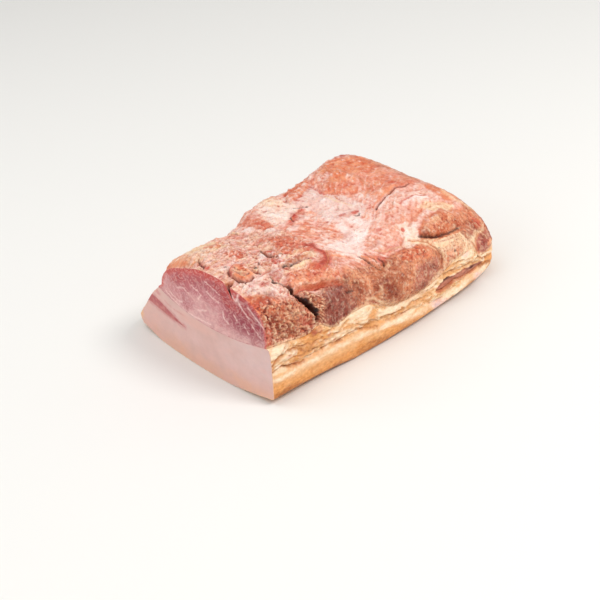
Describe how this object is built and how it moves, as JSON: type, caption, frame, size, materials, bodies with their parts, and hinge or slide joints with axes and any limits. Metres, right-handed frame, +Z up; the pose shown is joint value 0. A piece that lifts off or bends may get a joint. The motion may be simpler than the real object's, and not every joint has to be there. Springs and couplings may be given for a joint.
{
  "type": "shoulder bacon",
  "caption": "Slab of cooked pork shoulder with one cut face, lean muscle domed over a thick layer of fat, resting on its fat side.",
  "frame": {"origin": "middle of the footprint, on the surface the slab lies on", "axes": "+X along the length, from the cut face to the rounded far end; +Y to the left side, seen from the cut; +Z up"},
  "size_m": [0.2462, 0.1935, 0.0854],
  "materials": {
    "lean": "moist cooked muscle, salmon pink on top, brown on the right side, mauve pink on the cut, with cream fat and red flecks",
    "fat": "soft fat, cream to orange tan outside, smooth pinkish white on the cut",
    "streak": "moist deep pinkish red lean",
    "dark_lean": "dark red brown lean in a slot"
  },
  "bodies": {
    "root": {"lean_meat": "lean", "fat_layer": "fat", "lean_streak_left": "streak", "lean_streak_right": "dark_lean"}
  },
  "joints": []
}
